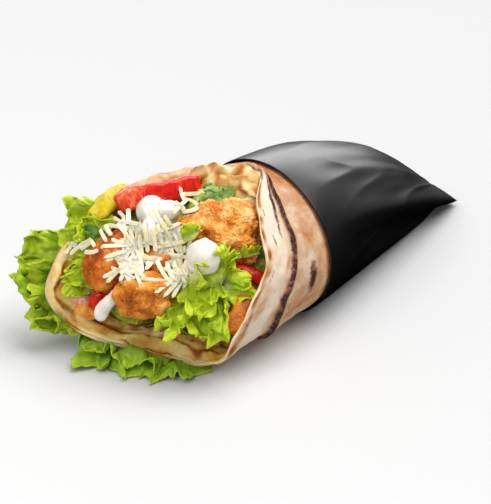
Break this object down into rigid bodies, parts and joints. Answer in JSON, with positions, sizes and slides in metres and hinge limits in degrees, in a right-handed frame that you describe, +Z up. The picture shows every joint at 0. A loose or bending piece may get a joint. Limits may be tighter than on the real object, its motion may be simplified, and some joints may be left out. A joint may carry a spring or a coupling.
{
  "type": "chicken wrap",
  "caption": "Flatbread wrap with crumbed chicken, lettuce, tomato, peppers, grated cheese and white sauce, lying in a glossy black paper sleeve with its open end showing.",
  "frame": {"origin": "a point on the flat underside of the sleeve, 30 mm in from its open rim, midway across", "axes": "+X along the wrap towards the closed end of the sleeve, +Y towards the standing far wall of the bread, +Z up"},
  "size_m": [0.2263, 0.0999, 0.0691],
  "materials": {
    "black_paper": "glossy coated paper, soft creases",
    "flatbread": "baked flatbread, matt and floury, with scorched spots",
    "fried_chicken": "golden crumbed crust, matt with a little oil",
    "fried_strip": "fried crust, smooth and oily",
    "white_sauce": "thick white sauce, glossy",
    "tomato": "wet tomato, glossy",
    "yellow_pepper": "raw pepper, glossy",
    "green_pepper": "raw pepper, glossy",
    "orange_pepper": "raw pepper, satin",
    "onion": "pickled onion, satin",
    "cheese": "grated hard cheese, satin",
    "lettuce": "fresh lettuce, satin",
    "parsley": "fresh parsley, satin"
  },
  "bodies": {
    "root": {"paper_sleeve": "black_paper", "flatbread": "flatbread", "chicken_bite_back": "fried_chicken", "chicken_bite_left": "fried_chicken", "chicken_bite_front": "fried_chicken", "chicken_bite_middle": "fried_chicken", "fried_strip": "fried_strip", "lettuce_bed": "lettuce", "sauce_front": "white_sauce", "sauce_back": "white_sauce", "sauce_streak": "white_sauce", "tomato_slice_left": "tomato", "tomato_slice_back": "tomato", "tomato_slice_right": "tomato", "tomato_piece": "tomato", "yellow_pepper": "yellow_pepper", "green_pepper_back": "green_pepper", "green_pepper_front": "green_pepper", "orange_pepper": "orange_pepper", "onion_piece": "onion", "grated_cheese": "cheese", "grated_cheese_left": "cheese", "grated_cheese_back": "cheese", "lettuce_leaf_left": "lettuce", "lettuce_leaf_front": "lettuce", "lettuce_leaf_upper_left": "lettuce", "lettuce_leaf_inner_left": "lettuce", "lettuce_leaf_inner_right": "lettuce", "lettuce_leaf_back": "lettuce", "parsley_leaf": "parsley", "lettuce_scrap_middle": "lettuce", "lettuce_scrap_right": "lettuce"}
  },
  "joints": []
}
